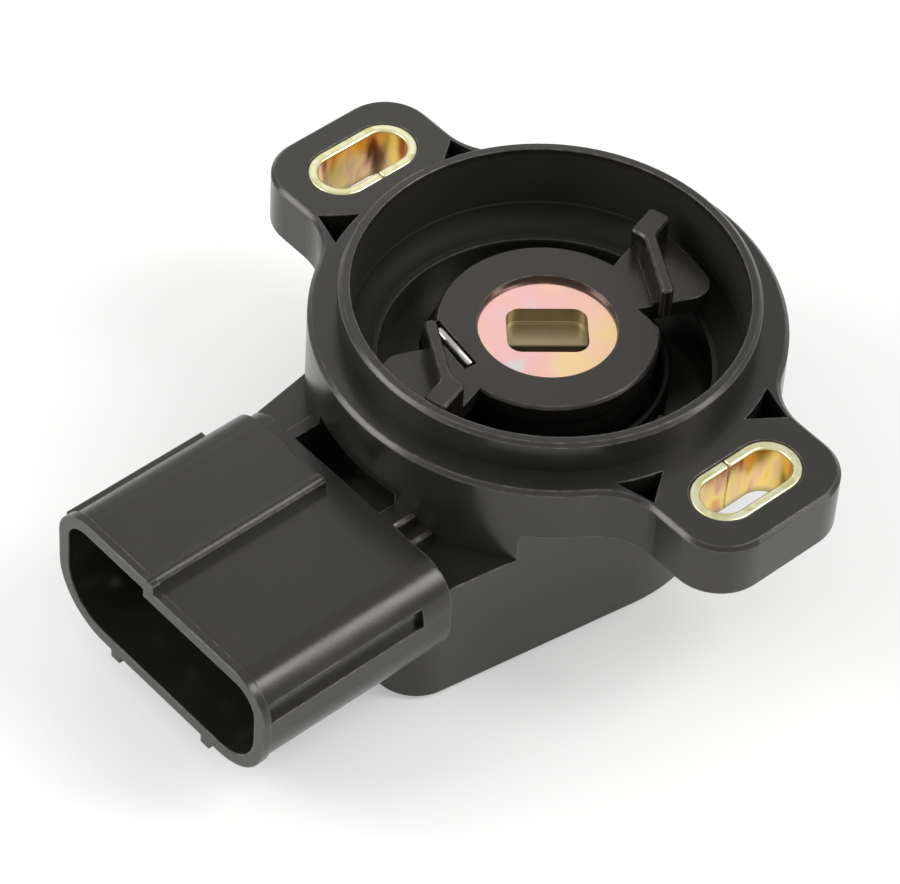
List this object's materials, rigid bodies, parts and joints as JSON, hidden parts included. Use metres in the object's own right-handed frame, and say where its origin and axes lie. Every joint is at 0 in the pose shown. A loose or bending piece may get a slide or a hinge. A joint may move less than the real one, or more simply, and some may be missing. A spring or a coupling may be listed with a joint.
{
  "type": "accelerator pedal sensor",
  "caption": "Rotary pedal position sensor: black cup housing with slotted ears and a side connector, and a sprung rotor with a plated drive hub.",
  "frame": {"origin": "on the rotor axis, at the ears' mounting face", "axes": "+Z along the rotor axis out of the open cup, X through the two ear slots, connector towards -Y"},
  "size_m": [0.0664, 0.0698, 0.0278],
  "materials": {
    "black_pbt": "satin moulded",
    "rotor_pbt": "satin moulded",
    "chromated_steel": "yellow chromate over zinc",
    "plated_hub_steel": "iridescent chromate over zinc",
    "spring_steel": "bright drawn",
    "sintered_bronze": "sintered",
    "washer_nylon": "stamped",
    "holder_pbt": "moulded",
    "wiper_alloy": "stamped",
    "board_laminate": "pressed laminate",
    "carbon_ink": "printed",
    "silver_ink": "printed",
    "tinned_brass": "tin plated",
    "solder": "cast",
    "seal_rubber": "moulded"
  },
  "bodies": {
    "housing": {"housing": "black_pbt", "bush_left": "chromated_steel", "bush_right": "chromated_steel", "bearing_bush": "sintered_bronze", "thrust_washer": "washer_nylon", "resistor_board": "board_laminate", "resistor_tracks": "carbon_ink", "collector_tracks": "silver_ink", "solder_joints": "solder", "rear_cover": "black_pbt", "cover_seal": "seal_rubber", "terminal_1": "tinned_brass", "terminal_2": "tinned_brass", "terminal_3": "tinned_brass", "terminal_4": "tinned_brass"},
    "rotor": {"rotor": "rotor_pbt", "drive_hub": "plated_hub_steel", "return_spring": "spring_steel", "wiper_holder": "holder_pbt", "wiper_1": "wiper_alloy", "wiper_2": "wiper_alloy", "retaining_clip": "spring_steel"}
  },
  "joints": [
    {"name": "rotor_turn", "type": "hinge", "parent": "housing", "child": "rotor", "pos_m": [0, 0, 0], "axis": [0, 0, 1], "range_deg": [0, 90], "stiffness_Nm_per_rad": 0.04, "springref_deg": -60.16, "deforming": ["return_spring"]}
  ]
}
